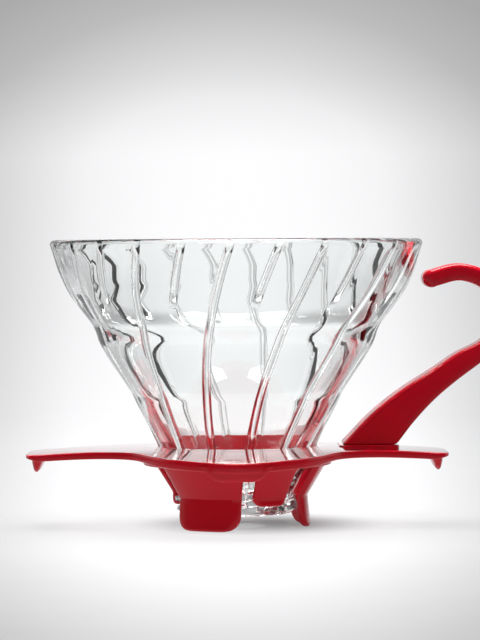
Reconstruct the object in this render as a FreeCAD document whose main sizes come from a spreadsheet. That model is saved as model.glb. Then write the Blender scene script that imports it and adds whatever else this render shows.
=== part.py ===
import FreeCAD, Part
import math
import os
import re
import Sketcher

# Glass cone coffee dripper on a moulded plastic base, in millimetres, +Z up.
# Origin: on the cone's axis, in the plane that the three long legs stand on.
# The handle points along +X.  Angles are measured about +Z from +X.

SIZES = [
    # name, value, what it is
    ("rim_radius", 58.1, "outside of the glass rim"),
    ("rim_top", 89.6, "height of the rim"),
    ("wall", 2.9, "glass thickness at the rim, measured across"),
    ("shoulder_radius", 46.0, "outside of the glass where the upper band starts"),
    ("shoulder_height", 64.4, "height where the upper band starts"),
    ("band_bulge", 1.7, "how far the outside of the upper band bows out of a straight line"),
    ("inner_bulge", 0.7, "how far the inside of the upper band bows out of a straight line"),
    ("cone_wall", 2.5, "glass thickness of the straight cone, measured across"),
    ("cone_slope", 30.0, "half angle of the filter cone, degrees"),
    ("step_radius", 32.6, "outside of the glass where its lower slope ends"),
    ("step_height", 41.4, "height where the lower slope ends"),
    ("wall_bow", 0.6, "how far the wall bows out between there and the upper band"),
    ("seat_radius", 24.7, "outside of the glass at the top of its seat"),
    ("seat_height", 25.4, "height of the top of the seat"),
    ("neck_radius", 17.6, "outside of the glass neck"),
    ("glass_bottom", 4.3, "height of the lower end of the neck"),
    ("rib_count", 12.0, "long ribs, and as many short ribs"),
    ("rib_width", 2.4, "width of a rib at its foot"),
    ("rib_crest", 1.2, "width of a rib at its crest"),
    ("rib_height", 1.5, "how far a rib stands out of the cone"),
    ("rib_root", 0.9, "how deep the foot of a rib sits in the wall"),
    ("rib_twist", 22.0, "largest turn of a rib below the rim, degrees"),
    ("rib_settle", 1.45, "where a rib stops turning, 1 being the height of the seat"),
    ("rib_bottom_gap", 4.0, "from the lower end of the neck up to the ribs"),
    ("rib_start", -91.2, "angle of one long rib at the rim, degrees"),
    ("rib_top_gap", 2.4, "from the rim down to the top of the ribs"),
    ("short_rib_length", 16.0, "height that a short rib spans"),
    ("thread_height", 2.1, "how far the thread stands out of the neck"),
    ("thread_root", 0.8, "how deep a thread ridge sits in the neck"),
    ("thread_thick", 1.8, "thickness of a thread ridge"),
    ("thread_middle", 7.4, "height of the middle of a thread ridge"),
    ("thread_lead", 9.0, "climb of the thread in one turn"),
    ("thread_span", 100.0, "angle that each of the three ridges covers, degrees"),
    ("dome_top", 26.0, "height of the top of the plate if it had no hole"),
    ("dome_radius", 620.0, "radius of the plate's dome"),
    ("dome_margin", 6.0, "how far the dome runs on past the side lobes before it is trimmed"),
    ("plate_thick", 2.4, "thickness of the plate"),
    ("side_lobe", 65.6, "reach of the left and right lobes"),
    ("side_lobe_half", 8.5, "half width of the flat end of a side lobe"),
    ("side_root", 62.6, "where the flank of a side lobe meets its corner"),
    ("side_root_half", 13.3, "half width of a side lobe at its corner"),
    ("side_neck", 51.5, "where a side lobe is narrowest"),
    ("side_neck_half", 14.5, "half width of a side lobe there"),
    ("waist_out", 38.8, "outer end of the hollow between two lobes"),
    ("waist_out_half", 19.9, "its distance from the middle plane"),
    ("waist_reach", 31.9, "middle of the hollow"),
    ("waist_half", 24.8, "its distance from the middle plane"),
    ("waist_in", 27.9, "inner end of the hollow"),
    ("waist_in_half", 31.0, "its distance from the middle plane"),
    ("front_lobe", 54.0, "reach of the front and back lobes"),
    ("front_half", 18.6, "half width of a front lobe where its end starts"),
    ("front_shoulder", 44.6, "reach of the front lobe there"),
    ("spigot_radius", 25.3, "collar under the plate that carries the ring"),
    ("spigot_bottom", 20.4, "height of the lower end of the collar"),
    ("land_radius", 31.0, "flat land around the collar"),
    ("land_bottom", 22.4, "height of the land"),
    ("seat_gap", 0.1, "gap between the glass and its seat"),
    ("ridge_bottom", 17.5, "height of the lower edge of a seat ridge"),
    ("ridge_long", 22.0, "length of a seat ridge at the plate"),
    ("ridge_short", 12.5, "length of a seat ridge at its lower edge"),
    ("ridge_thick", 3.4, "thickness of a seat ridge at the plate"),
    ("ridge_foot", 0.9, "thickness of a seat ridge at its lower edge"),
    ("ridge_lean", 1.9, "how far the inner side of a seat ridge leans outwards"),
    ("ridge_inset", 1.9, "from the end of a lobe in to the ridge"),
    ("boss_top", 25.6, "flat pad that the handle stands on"),
    ("boss_margin", 0.8, "rim of the pad around the handle's foot"),
    ("ring_fit", 0.1, "radial gap between the collar and the ring"),
    ("ring_gap", 0.15, "gap between the land and the ring"),
    ("ring_outer", 29.4, "outside of the ring"),
    ("ring_bottom", 19.4, "height of the lower face of the ring"),
    ("tab_thick", 2.1, "thickness of a leg, measured across"),
    ("tab_knee", 9.8, "height where a leg turns upright"),
    ("tab_radius", 21.9, "outside of a leg at its knee"),
    ("tab_foot_radius", 22.8, "outside of a leg at its lower end"),
    ("tab_slope", 30.6, "lean of a leg above its knee, degrees"),
    ("leg_reach", 6.0, "from the ring's lower face up to where the tops of the legs are measured"),
    ("long_tab_width", 20.4, "width of the front and right legs below the knee"),
    ("long_tab_top", 29.0, "width that a long leg flares to"),
    ("long_tab_angle", 6.2, "angle of the right leg, degrees"),
    ("long_tab_corner", 4.2, "corner radius of a long leg"),
    ("rear_tab_width", 17.2, "width of the wide part of the rear leg below the knee"),
    ("rear_tab_bottom", 6.0, "height of the end of the wide part of the rear leg"),
    ("rear_tab_turn", 12.0, "angle from the rear leg's foot to the middle of its wide part, degrees"),
    ("rear_foot_width", 8.6, "width of the narrow foot of the rear leg"),
    ("short_tab_top", 15.0, "width that a short leg flares to"),
    ("short_tab_foot", 11.0, "width of a short leg at its end"),
    ("short_tab_bottom", 7.5, "height of the end of a short leg"),
    ("short_tab_corner", 3.0, "corner radius of a short leg"),
    ("short_tab_turn", 68.0, "angle from a long leg back to the short leg beside it, degrees"),
    ("nose_gap", 0.12, "gap between the ring's noses and the thread"),
    ("nose_thick", 1.8, "thickness of a nose"),
    ("nose_span", 17.0, "angle that a nose covers, degrees"),
    ("nose_clear", 0.4, "gap between a nose and the glass neck"),
    ("handle_inner", 32.4, "nearest point of the handle's foot to the axis"),
    ("handle_outer", 49.4, "furthest point of the handle's foot from the axis"),
    ("loop_x", 69.9, "middle of the finger loop"),
    ("loop_z", 66.0, "height of the middle of the finger loop"),
    ("loop_radius", 10.2, "inside radius of the finger loop"),
    ("loop_thick", 5.4, "thickness of the handle round the loop"),
    ("foot_width", 18.0, "width of the handle at its foot"),
    ("grip_width", 13.0, "width of the handle at the loop"),
    ("grip_height", 58.0, "height where the grip width is reached"),
    ("handle_round", 1.4, "rounding of the handle's edges"),
    ("peg_radius", 2.0, "pegs under the handle"),
    ("peg_depth", 2.6, "how deep a peg goes into the plate"),
    ("peg_inset", 5.0, "from the foot's ends in to a peg"),
    ("overlap", 1.0, "how far pieces that are fused run into each other"),
]

# Points of the handle's two edges seen from the side, each from its own end of the foot: (out, up).
INNER_RISE = [(9.3, 9.6), (18.5, 16.9), (28.7, 23.4)]
OUTER_RISE = [(5.4, 6.9), (11.9, 13.8)]
# Where the edges run into the finger loop, from the bottom of each loop circle: (out, up).
INNER_ENTRY = (-1.7, -2.0)
OUTER_ENTRY = (-1.7, -5.6)
# The edges round the loop: (angle in degrees, how far outside the plain circle).
INNER_LOOP = [(-50, 0), (0, 0), (45, 0), (90, 0.1), (131, 1.3)]
OUTER_LOOP = [(-50, 1.4), (0, 0.5), (45, 0.2), (90, 0.1), (128, 1.5)]
TIP_LOOP = (146, 1.3)
FOOT_EDGE = 0.5

# Number of straight steps that the spiral pieces are built from.
LONG_RIB_STEPS = 10
SHORT_RIB_STEPS = 4
THREAD_STEPS = 10
NOSE_STEPS = 2
LEG_COUNT = 3

# Lean of the lower glass wall, which the seat in the plate follows.
SEAT_SLOPE = "(step_radius - seat_radius) / (step_height - seat_height)"

doc = FreeCAD.newDocument("dripper")
sheet = doc.addObject("Spreadsheet::Sheet", "sizes")
for row, (name, number, note) in enumerate(SIZES, start=1):
    sheet.set(f"A{row}", name)
    sheet.set(f"B{row}", str(number))
    sheet.set(f"C{row}", note)
    sheet.setAlias(f"B{row}", name)
doc.recompute()
NAMES = {name for name, number, note in SIZES}


def size(name):
    """Read one size from the sheet."""
    return float(sheet.get(name))


def formula(text):
    """Point every size name in a formula at the sheet."""
    return re.sub(r"[a-z_]+", lambda word: f"sizes.{word[0]}" if word[0] in NAMES else word[0], text)


def worked_out(text):
    """The number that a formula gives."""
    result = sheet.evalExpression(formula(text))
    return float(getattr(result, "Value", result))


def bind(thing, **formulas):
    """Tie properties of an object to the sheet."""
    for name, text in formulas.items():
        thing.setExpression(name, formula(text))
    return thing


# ---------------------------------------------------------------- sketching

def new_sketch(body, role, name):
    """An empty sketch on one of the body's own origin planes."""
    sketch = body.newObject("Sketcher::SketchObject", name)
    plane = next(item for item in body.Origin.OriginFeatures if item.Role == role)
    sketch.AttachmentSupport = [(plane, "")]
    sketch.MapMode = "FlatFace"
    doc.recompute()
    return sketch


def pin_point(sketch, curve, end, across, up):
    """Hold a point of a sketch at two formulas."""
    for kind, text in (("DistanceX", across), ("DistanceY", up)):
        number = sketch.addConstraint(Sketcher.Constraint(kind, -1, 1, curve, end, worked_out(text)))
        sketch.setExpression(f"Constraints[{number}]", formula(text))


def arc_through(first, middle, last):
    """The arc that runs anticlockwise through three points."""
    circle = Part.Arc(first, middle, last).toShape().Curve
    begin, end = (math.atan2(point.y - circle.Center.y, point.x - circle.Center.x) for point in (first, last))
    return Part.ArcOfCircle(Part.Circle(circle.Center, FreeCAD.Vector(0, 0, 1), circle.Radius), begin, end)


def closed_outline(sketch, start, steps):
    """Draw a closed outline: a step is (x, y) for a line, (x, y, x, y) for an arc through a point."""
    corners = [start] + [step[-2:] for step in steps]
    curves = []
    for begin, step in zip(corners, steps):
        first = FreeCAD.Vector(worked_out(begin[0]), worked_out(begin[1]), 0)
        last = FreeCAD.Vector(worked_out(step[-2]), worked_out(step[-1]), 0)
        if len(step) == 2:
            curves.append((sketch.addGeometry(Part.LineSegment(first, last)), 1, 2))
            continue
        middle = FreeCAD.Vector(worked_out(step[0]), worked_out(step[1]), 0)
        forward = (middle - first).cross(last - middle).z > 0
        number = sketch.addGeometry(arc_through(*((first, middle, last) if forward else (last, middle, first))))
        curves.append((number, 1, 2) if forward else (number, 2, 1))
        through = sketch.addGeometry(Part.Point(middle), True)
        pin_point(sketch, through, 1, step[0], step[1])
        sketch.addConstraint(Sketcher.Constraint("PointOnObject", through, 1, number))
    for (curve, first_end, last_end), begin in zip(curves, corners):
        pin_point(sketch, curve, first_end, begin[0], begin[1])
    for one, other in zip(curves, curves[1:] + curves[:1]):
        sketch.addConstraint(Sketcher.Constraint("Coincident", one[0], one[2], other[0], other[1]))
    return sketch


def revolved_body(name, start, steps):
    """A body turned about Z from an outline of (radius, height) steps."""
    body = doc.addObject("PartDesign::Body", name)
    sketch = closed_outline(new_sketch(body, "XZ_Plane", name + "_profile"), start, steps)
    turn = body.newObject("PartDesign::Revolution", name + "_turn")
    turn.Profile = sketch
    turn.ReferenceAxis = (sketch, ["V_Axis"])
    turn.Angle = 360
    return body


def padded_body(name, role, start, steps, length):
    """A body pushed out of an outline."""
    body = doc.addObject("PartDesign::Body", name)
    sketch = closed_outline(new_sketch(body, role, name + "_outline"), start, steps)
    pad = body.newObject("PartDesign::Pad", name + "_pad")
    pad.Profile = sketch
    bind(pad, Length=length)
    return body


def joined(name, pieces):
    fused = doc.addObject("Part::MultiFuse", name)
    fused.Shapes = pieces
    return fused


def common(name, pieces):
    shared = doc.addObject("Part::MultiCommon", name)
    shared.Shapes = pieces
    return shared


def cut(name, base, tool):
    result = doc.addObject("Part::Cut", name)
    result.Base = base
    result.Tool = tool
    return result


def cylinder(name, radius, height, x="0", z="0"):
    piece = doc.addObject("Part::Cylinder", name)
    bind(piece, Radius=radius, Height=height)
    piece.setExpression("Placement.Base.x", formula(x))
    piece.setExpression("Placement.Base.z", formula(z))
    return piece


# ---------------------------------------------------------------- spiral pieces

def ring_point(radius, angle, height):
    turn = math.radians(angle)
    return FreeCAD.Vector(radius * math.cos(turn), radius * math.sin(turn), height)


def lofted(sections):
    """A solid through a row of flat four-cornered sections."""
    wires = [Part.makePolygon(corners + corners[:1]) for corners in sections]
    return Part.makeLoft(wires, True, True)


def shaped_feature(name, solids):
    feature = doc.addObject("Part::Feature", name)
    feature.Shape = Part.makeCompound(solids)
    return feature


def inner_radius(height):
    """Inside of the glass at a height: a straight cone, then the upper band."""
    slope = math.tan(math.radians(size("cone_slope")))
    shoulder = size("shoulder_height")
    inside = size("shoulder_radius") - size("cone_wall")
    if height <= shoulder:
        return inside - slope * (shoulder - height)
    share = (height - shoulder) / (size("rim_top") - size("wall") / 2 - shoulder)
    edge = size("rim_radius") - size("wall")
    return inside + (edge - inside) * share + size("inner_bulge") * 4 * share * (1 - share)


def rib_angle(start, height):
    """Ribs turn clockwise on their way down, a little faster near the rim."""
    share = (size("rim_top") - height) / (size("rim_top") - size("seat_height"))
    return start - size("rib_twist") * math.sin(share / size("rib_settle") * math.pi / 2)


def rib(start, heights):
    """One rib down the inside of the glass."""
    root = size("rib_root")
    sections = []
    for height in heights:
        radius = inner_radius(height)
        angle = rib_angle(start, height)
        foot = math.degrees(size("rib_width") / 2 / radius)
        crest = math.degrees(size("rib_crest") / 2 / radius)
        sections.append([
            ring_point(radius + root, angle - foot, height),
            ring_point(radius - size("rib_height"), angle - crest, height),
            ring_point(radius - size("rib_height"), angle + crest, height),
            ring_point(radius + root, angle + foot, height),
        ])
    return lofted(sections)


def helix_ridge(middle, span, inner, outer, height, thick, steps):
    """A ridge that climbs with the thread, seen as a row of upright sections."""
    sections = []
    for step in range(steps + 1):
        offset = span * (step / steps - 0.5)
        level = height + size("thread_lead") * offset / 360
        angle = middle + offset
        sections.append([
            ring_point(inner, angle, level - thick / 2),
            ring_point(outer, angle, level - thick / 2),
            ring_point(outer, angle, level + thick / 2),
            ring_point(inner, angle, level + thick / 2),
        ])
    return lofted(sections)


# ---------------------------------------------------------------- sub-parts

def make_glass():
    """The pressed glass cone: wall, spiral ribs inside, thread on the neck."""
    neck_top = f"seat_height - (seat_radius - neck_radius) / ({SEAT_SLOPE})"
    bow = "(step_radius + shoulder_radius) / 2 + wall_bow"
    inside = "shoulder_radius - cone_wall"
    outlet = f"{inside} - tan(cone_slope) * (shoulder_height - glass_bottom)"
    rim_level = "rim_top - wall / 2"
    half_up = "(shoulder_height + rim_top - wall / 2) / 2"
    wall = revolved_body("glass_wall", (outlet, "glass_bottom"), [
        ("neck_radius", "glass_bottom"),
        ("neck_radius", neck_top),
        ("step_radius", "step_height"),
        (bow, "(step_height + shoulder_height) / 2", "shoulder_radius", "shoulder_height"),
        ("(shoulder_radius + rim_radius) / 2 + band_bulge", half_up, "rim_radius", rim_level),
        ("rim_radius - wall / 2", "rim_top", "rim_radius - wall", rim_level),
        (f"({inside} + rim_radius - wall) / 2 + inner_bulge", half_up, inside, "shoulder_height"),
        (outlet, "glass_bottom"),
    ])
    top = size("rim_top") - size("rib_top_gap")
    low = size("glass_bottom") + size("rib_bottom_gap")
    count = int(size("rib_count"))
    long_heights = [top + (low - top) * step / LONG_RIB_STEPS for step in range(LONG_RIB_STEPS + 1)]
    short_drop = size("short_rib_length") / SHORT_RIB_STEPS
    short_heights = [top - short_drop * step for step in range(SHORT_RIB_STEPS + 1)]
    ribs = []
    for number in range(count):
        start = size("rib_start") + 360 * number / count
        ribs.append(rib(start, long_heights))
        ribs.append(rib(start + 180 / count, short_heights))
    inner = size("neck_radius") - size("thread_root")
    outer = size("neck_radius") + size("thread_height")
    threads = []
    for number in range(LEG_COUNT):
        middle = size("long_tab_angle") + 360 / LEG_COUNT * number
        threads.append(helix_ridge(middle, size("thread_span"), inner, outer,
                                   size("thread_middle"), size("thread_thick"), THREAD_STEPS))
    return joined("glass_cone", [wall, shaped_feature("glass_ribs", ribs),
                                 shaped_feature("glass_threads", threads)])


def make_plate():
    """The domed plate: four lobes, glass seat, ring collar, seat ridges and handle pad."""
    radii = ["neck_radius", "(neck_radius + front_lobe) / 2", "front_lobe", "side_lobe + dome_margin"]
    upper = [(radius, f"dome_top - ({radius}) * ({radius}) / (2 * dome_radius)") for radius in radii]
    lower = [(radius, f"{level} - plate_thick") for radius, level in reversed(upper)]
    dome = revolved_body("plate_dome", upper[0], upper[1:] + lower + upper[:1])
    outline = padded_body("plate_outline", "XY_Plane", ("side_lobe", "-side_lobe_half"),
                          plate_outline_steps(), "2 * dome_top")
    blank = common("plate_blank", [dome, outline])
    land = cylinder("plate_land", "land_radius", "dome_top - plate_thick - land_bottom", z="land_bottom")
    collar = cylinder("plate_collar", "spigot_radius", "land_bottom - spigot_bottom + overlap",
                      z="spigot_bottom")
    boss = doc.addObject("Part::Box", "handle_pad")
    bind(boss, Length="handle_outer - handle_inner + 2 * boss_margin", Width="foot_width + 2 * boss_margin",
         Height="plate_thick")
    boss.setExpression("Placement.Base.x", formula("handle_inner - boss_margin"))
    boss.setExpression("Placement.Base.y", formula("-foot_width / 2 - boss_margin"))
    boss.setExpression("Placement.Base.z", formula("boss_top - plate_thick"))
    ridges = [seat_ridge(number) for number in range(4)]
    solid = joined("plate_solid", [blank, land, collar, boss] + ridges)
    half = "(seat_height - spigot_bottom + overlap)"
    hole = doc.addObject("Part::Cone", "glass_seat")
    bind(hole, Height=f"2 * {half}", Radius1=f"seat_radius + seat_gap - {half} * ({SEAT_SLOPE})",
         Radius2=f"seat_radius + seat_gap + {half} * ({SEAT_SLOPE})")
    hole.setExpression("Placement.Base.z", formula(f"seat_height - {half}"))
    pegs = [cylinder(f"peg_hole_{number}", "peg_radius", "peg_depth + overlap", x=place_x,
                     z="boss_top - peg_depth")
            for number, place_x in enumerate(peg_places(), start=1)]
    return cut("base_plate", solid, joined("plate_holes", [hole] + pegs))


def plate_outline_steps():
    """The plan of the plate, anticlockwise from the right lobe's lower corner."""
    quarter = [
        ("side_lobe - 0.7", "side_root_half - 1.6", "side_root", "side_root_half"),
        ("side_neck", "side_neck_half"),
        ("waist_out", "waist_out_half"),
        ("waist_reach", "waist_half", "waist_in", "waist_in_half"),
        ("front_half", "front_shoulder"),
    ]
    start = ("side_lobe", "side_lobe_half")

    def flipped(point, x_sign, y_sign):
        signs = [x_sign, y_sign] * (len(point) // 2)
        return tuple(f"{sign}({text})" for sign, text in zip(signs, point))

    def backwards(steps, first):
        ends = [first] + [step[-2:] for step in steps]
        return [steps[k][:-2] + ends[k] for k in reversed(range(len(steps)))]

    back_arc = ("0", "front_lobe", "-(front_half)", "front_shoulder")
    front_arc = ("0", "-(front_lobe)", "front_half", "-(front_shoulder)")
    steps = [start]
    steps += quarter
    steps += [back_arc]
    steps += [flipped(step, "-", "") for step in backwards(quarter, start)]
    steps += [flipped(start, "-", "-")]
    steps += [flipped(step, "-", "-") for step in quarter]
    steps += [front_arc]
    steps += [flipped(step, "", "-") for step in backwards(quarter, start)]
    return steps


def seat_ridge(number):
    """One of the four ridges that keep the plate on a cup."""
    reach = "side_lobe" if number % 2 == 0 else "front_lobe"
    ridge = doc.addObject("Part::Wedge", f"seat_ridge_{number + 1}")
    under = f"dome_top - plate_thick / 2 - {reach} * {reach} / (2 * dome_radius)"
    bind(ridge, Xmin="0", Xmax="ridge_thick", X2min="ridge_lean", X2max="ridge_lean + ridge_foot",
         Ymin="0", Ymax=f"{under} - ridge_bottom",
         Zmin="-ridge_long / 2", Zmax="ridge_long / 2", Z2min="-ridge_short / 2", Z2max="ridge_short / 2")
    # the wedge grows along its own -Y, so it is laid down and turned to its lobe
    lay = FreeCAD.Rotation(FreeCAD.Vector(1, 0, 0), -90)
    turn = FreeCAD.Rotation(FreeCAD.Vector(0, 0, 1), 90 * number)
    start = worked_out(f"{reach} - ridge_inset - ridge_thick")
    spot = turn.multVec(FreeCAD.Vector(start, 0, worked_out(under)))
    ridge.Placement = FreeCAD.Placement(spot, turn.multiply(lay))
    return ridge


def peg_places():
    return ["handle_inner + peg_inset", "handle_outer - peg_inset"]


def leg_window(name, foot, flare, low, bend, corner):
    """The outline that cuts a leg: rounded foot, straight sides, then a flare up to the ring."""
    half = f"{foot} / 2"
    wide = f"{flare} / 2"
    top = "ring_bottom + leg_reach"
    inset = f"(1 - cos(45)) * {corner}"
    return padded_body(name, "XZ_Plane", (f"-{wide}", top), [
        (f"-{half}", bend),
        (f"-{half}", f"{low} + {corner}"),
        (f"-{half} + {inset}", f"{low} + {inset}", f"-{half} + {corner}", low),
        (f"{half} - {corner}", low),
        (f"{half} - {inset}", f"{low} + {inset}", half, f"{low} + {corner}"),
        (half, bend),
        (wide, top),
        (f"-{wide}", top),
    ], "2 * land_radius")


def make_ring():
    """The turning ring: bearing ring, three long legs, two short legs, three noses."""
    top = "land_bottom - ring_gap"
    shell_top = f"({top} - overlap / 2)"
    lean = f"tan(tab_slope) * ({shell_top} - tab_knee)"
    shell = revolved_body("leg_shell", ("tab_foot_radius - tab_thick", "0"), [
        ("tab_foot_radius", "0"),
        ("tab_radius", "tab_knee"),
        (f"tab_radius + {lean}", shell_top),
        (f"tab_radius - tab_thick + {lean}", shell_top),
        ("tab_radius - tab_thick", "tab_knee"),
        ("tab_foot_radius - tab_thick", "0"),
    ])
    long_leg = leg_window("long_leg_window", "long_tab_width", "long_tab_top", "0",
                          "tab_knee", "long_tab_corner")
    rear_leg = leg_window("rear_leg_window", "rear_tab_width", "long_tab_top", "rear_tab_bottom",
                          "tab_knee + overlap", "short_tab_corner")
    rear_foot = leg_window("rear_foot_window", "rear_foot_width", "rear_foot_width", "0",
                           "tab_knee", "short_tab_corner")
    short_leg = leg_window("short_leg_window", "short_tab_foot", "short_tab_top", "short_tab_bottom",
                           "short_tab_bottom + short_tab_corner + overlap", "short_tab_corner")
    turn = 360 / LEG_COUNT
    back = size("short_tab_turn")
    windows = [placed_window("right_leg", long_leg, 0),
               placed_window("rear_leg", rear_leg, turn + size("rear_tab_turn")),
               placed_window("rear_foot", rear_foot, turn), placed_window("front_leg", long_leg, 2 * turn),
               placed_window("front_short_leg", short_leg, -back),
               placed_window("rear_short_leg", short_leg, turn - back)]
    legs = common("legs", [shell, joined("leg_windows", windows)])
    ring = cut("bearing_ring",
               cylinder("ring_blank", "ring_outer", f"{top} - ring_bottom", z="ring_bottom"),
               cylinder("ring_bore", "spigot_radius + ring_fit", f"{top} - ring_bottom + 2 * overlap",
                        z="ring_bottom - overlap"))
    inner = size("neck_radius") + size("nose_clear")
    outer = size("tab_radius") - size("tab_thick") / 2
    height = size("thread_middle") + size("thread_thick") / 2 + size("nose_gap") + size("nose_thick") / 2
    noses = [helix_ridge(size("long_tab_angle") + turn * number, size("nose_span"), inner, outer, height,
                         size("nose_thick"), NOSE_STEPS) for number in range(LEG_COUNT)]
    return joined("lock_ring", [legs, ring, shaped_feature("noses", noses)])


def placed_window(name, body, angle):
    """A copy of a leg's window, turned to its place about the axis."""
    doc.recompute()
    window = doc.addObject("Part::Feature", name)
    shape = body.Shape.copy()
    # the window is drawn facing -Y
    shape.rotate(FreeCAD.Vector(0, 0, 0), FreeCAD.Vector(0, 0, 1), 90 + size("long_tab_angle") + angle)
    window.Shape = shape
    return window


def make_handle():
    """The open finger loop: a blade off the plate that curls back over."""
    x = size("loop_x")
    z = size("loop_z")
    inner = size("loop_radius")
    outer = inner + size("loop_thick")
    foot = size("boss_top")
    near = size("handle_inner")
    far = size("handle_outer")

    def loop(radius, angle, extra):
        turn = math.radians(angle)
        return (x + (radius + extra) * math.cos(turn), z + (radius + extra) * math.sin(turn))

    upper = [(near, foot)]
    upper += [(near + out, foot + up) for out, up in INNER_RISE]
    upper += [(x + INNER_ENTRY[0], z - inner + INNER_ENTRY[1])]
    upper += [loop(inner, *step) for step in INNER_LOOP]
    lower = [loop(outer, *step) for step in reversed(OUTER_LOOP)]
    lower += [(x + OUTER_ENTRY[0], z - outer + OUTER_ENTRY[1])]
    lower += [(far + out, foot + up) for out, up in reversed(OUTER_RISE)]
    lower += [(far, foot)]
    tip = loop((inner + outer) / 2, *TIP_LOOP)
    body = doc.addObject("PartDesign::Body", "handle_side")
    sketch = new_sketch(body, "XZ_Plane", "handle_side_outline")
    rows = [[FreeCAD.Vector(*point, 0) for point in points] for points in (upper, lower)]
    for points in rows:
        curve = Part.BSplineCurve()
        curve.interpolate(points)
        sketch.addGeometry(curve)
    sketch.addGeometry(Part.Arc(rows[0][-1], FreeCAD.Vector(*tip, 0), rows[1][0]))
    sketch.addGeometry(Part.LineSegment(rows[1][-1], rows[0][0]))
    pad = body.newObject("PartDesign::Pad", "handle_side_pad")
    pad.Profile = sketch
    bind(pad, Length="foot_width")
    pad.Midplane = True
    half_foot = "foot_width / 2"
    half_grip = "grip_width / 2"
    front = padded_body("handle_front", "YZ_Plane", (f"-{half_foot}", "boss_top - overlap"), [
        (half_foot, "boss_top - overlap"),
        (half_foot, "boss_top"),
        (half_grip, "grip_height"),
        (half_grip, "2 * loop_z"),
        (f"-{half_grip}", "2 * loop_z"),
        (f"-{half_grip}", "grip_height"),
        (f"-{half_foot}", "boss_top"),
        (f"-{half_foot}", "boss_top - overlap"),
    ], "2 * loop_x")
    blade = common("handle_blade", [body, front])
    doc.recompute()
    rounded = doc.addObject("Part::Fillet", "handle_rounded")
    rounded.Base = blade
    limit = size("boss_top") + FOOT_EDGE
    edges = [number for number, edge in enumerate(blade.Shape.Edges, start=1)
             if edge.BoundBox.ZMax > limit and edge.BoundBox.YLength < size("foot_width") / 3]
    rounded.Edges = [(number, size("handle_round"), size("handle_round")) for number in edges]
    pegs = [cylinder(f"peg_{number}", "peg_radius", "peg_depth + overlap", x=place_x, z="boss_top - peg_depth")
            for number, place_x in enumerate(peg_places(), start=1)]
    return joined("handle", [rounded] + pegs)


def check_document():
    """Stop if any object failed to build."""
    doc.recompute()
    for thing in doc.Objects:
        if "Invalid" in thing.State or "Error" in thing.State:
            raise SystemExit(f"{thing.Name} failed: {thing.State}")


def write_part(thing):
    shape = thing.Shape
    if shape.isNull() or not shape.isValid() or not shape.Solids:
        raise SystemExit(f"{thing.Name} has no valid solid")
    shape = shape.removeSplitter()
    box = shape.BoundBox
    print(f"{thing.Label}: {len(shape.Solids)} solid, {shape.Volume / 1000:.2f} cm3, "
          f"x {box.XMin:.1f}..{box.XMax:.1f} y {box.YMin:.1f}..{box.YMax:.1f} z {box.ZMin:.1f}..{box.ZMax:.1f}")
    shape.exportStep(f"parts/{thing.Label}.step")


parts = [make_glass(), make_plate(), make_ring(), make_handle()]
check_document()
os.makedirs("parts", exist_ok=True)
for thing in parts:
    write_part(thing)
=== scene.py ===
import math

import bpy
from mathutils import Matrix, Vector


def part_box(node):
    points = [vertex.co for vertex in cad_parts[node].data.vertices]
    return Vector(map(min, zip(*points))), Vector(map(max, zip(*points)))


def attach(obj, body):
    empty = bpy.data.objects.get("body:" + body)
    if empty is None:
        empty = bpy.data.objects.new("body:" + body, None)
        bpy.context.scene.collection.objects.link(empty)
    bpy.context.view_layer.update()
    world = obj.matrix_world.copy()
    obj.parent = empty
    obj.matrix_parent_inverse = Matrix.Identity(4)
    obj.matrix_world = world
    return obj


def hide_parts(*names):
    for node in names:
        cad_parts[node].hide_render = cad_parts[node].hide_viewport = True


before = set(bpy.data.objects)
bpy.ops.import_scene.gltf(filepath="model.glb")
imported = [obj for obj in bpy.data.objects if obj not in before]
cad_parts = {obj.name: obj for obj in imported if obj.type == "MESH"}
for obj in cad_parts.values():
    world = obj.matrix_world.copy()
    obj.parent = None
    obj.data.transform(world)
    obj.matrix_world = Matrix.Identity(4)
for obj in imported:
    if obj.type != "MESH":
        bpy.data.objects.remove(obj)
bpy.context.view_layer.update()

# Sizes of the object are in millimetres, and add_piece turns them into metres.
# A (radius, height) pair is a point of a turned section. Heights start at the feet of the ring.
MM = 0.001
glass_low, glass_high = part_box("glass_cone")
plate_low, plate_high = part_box("base_plate")

RIM_TOP = glass_high[2] / MM
GLASS_BOTTOM = glass_low[2] / MM
RIM_RADIUS = glass_high[0] / MM - 0.01
WALL = 2.9
CONE_WALL = 2.5
SHOULDER = (46.0, 64.4)
SEAT = (24.7, 25.4)
STEP = (32.6, 41.4)
NECK_RADIUS = 17.6
NECK_TOP = 11.0
CONE_SLOPE = math.tan(math.radians(30))
INNER_BULGE = 0.7
RIB_COUNT = 12
RIB_HALF = 1.25
RIB_HEIGHT = 1.6
RIB_FULLNESS = 0.6
RIB_TWIST = 22.0
RIB_START = -91.2
RIB_TOP = RIM_TOP - 1.6
RIB_TOP_FADE = 2.5
LONG_RIB_FADE = (6.0, 9.0)
SHORT_RIB_FADE = (70.6, 70.6 + 3.5)
THREAD_COUNT = 3
THREAD_LEAD = 9.0
THREAD_MIDDLE = 7.4
THREAD_HEIGHT = 2.1
THREAD_THICK = 1.8
THREAD_HALF_SPAN = 50
THREAD_END_FADE = 2
THREAD_FLANK = (0.8, 1.25)
LEG_COUNT = 3
LEG_ANGLE = 5.4


# ------------------------------------------------------------------ mesh tools

def add_piece(name, points, faces, body, material, smooth_angle):
    """A mesh piece from points in millimetres, riding on a body."""
    mesh = bpy.data.meshes.new(name)
    mesh.from_pydata([tuple(value * MM for value in point) for point in points], [], faces)
    mesh.validate()
    mesh.materials.append(material)
    piece = bpy.data.objects.new(name, mesh)
    bpy.context.scene.collection.objects.link(piece)
    mesh.shade_smooth()
    mesh.set_sharp_from_angle(angle=math.radians(smooth_angle))
    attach(piece, body)
    return piece


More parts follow.
